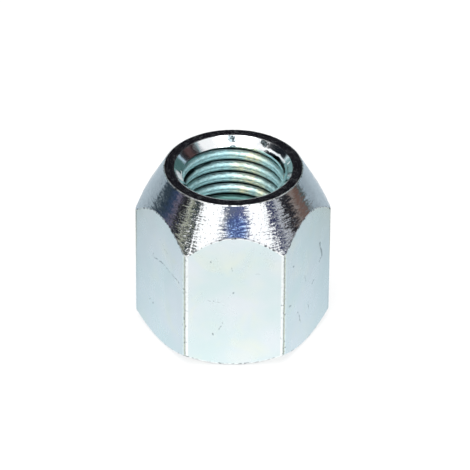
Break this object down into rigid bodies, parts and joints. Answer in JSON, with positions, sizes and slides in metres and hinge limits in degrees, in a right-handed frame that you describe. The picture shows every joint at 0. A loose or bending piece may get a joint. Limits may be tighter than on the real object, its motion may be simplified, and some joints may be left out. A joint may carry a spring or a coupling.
{
  "type": "lug nut",
  "caption": "Open-ended hexagonal wheel nut with a conical seat, countersunk and threaded right through, that clamps a wheel onto its stud.",
  "frame": {"origin": "centre of the flat base, on the surface that the nut stands on", "axes": "+Z along the thread axis from the base towards the conical seat; one hexagon flat faces -Y and two corners lie on X"},
  "size_m": [0.0216, 0.019, 0.0202],
  "materials": {
    "zinc_plated_steel": "bright zinc plate with a pale blue passivation, turned on the cone"
  },
  "bodies": {
    "root": {"lug_nut": "zinc_plated_steel"}
  },
  "joints": []
}
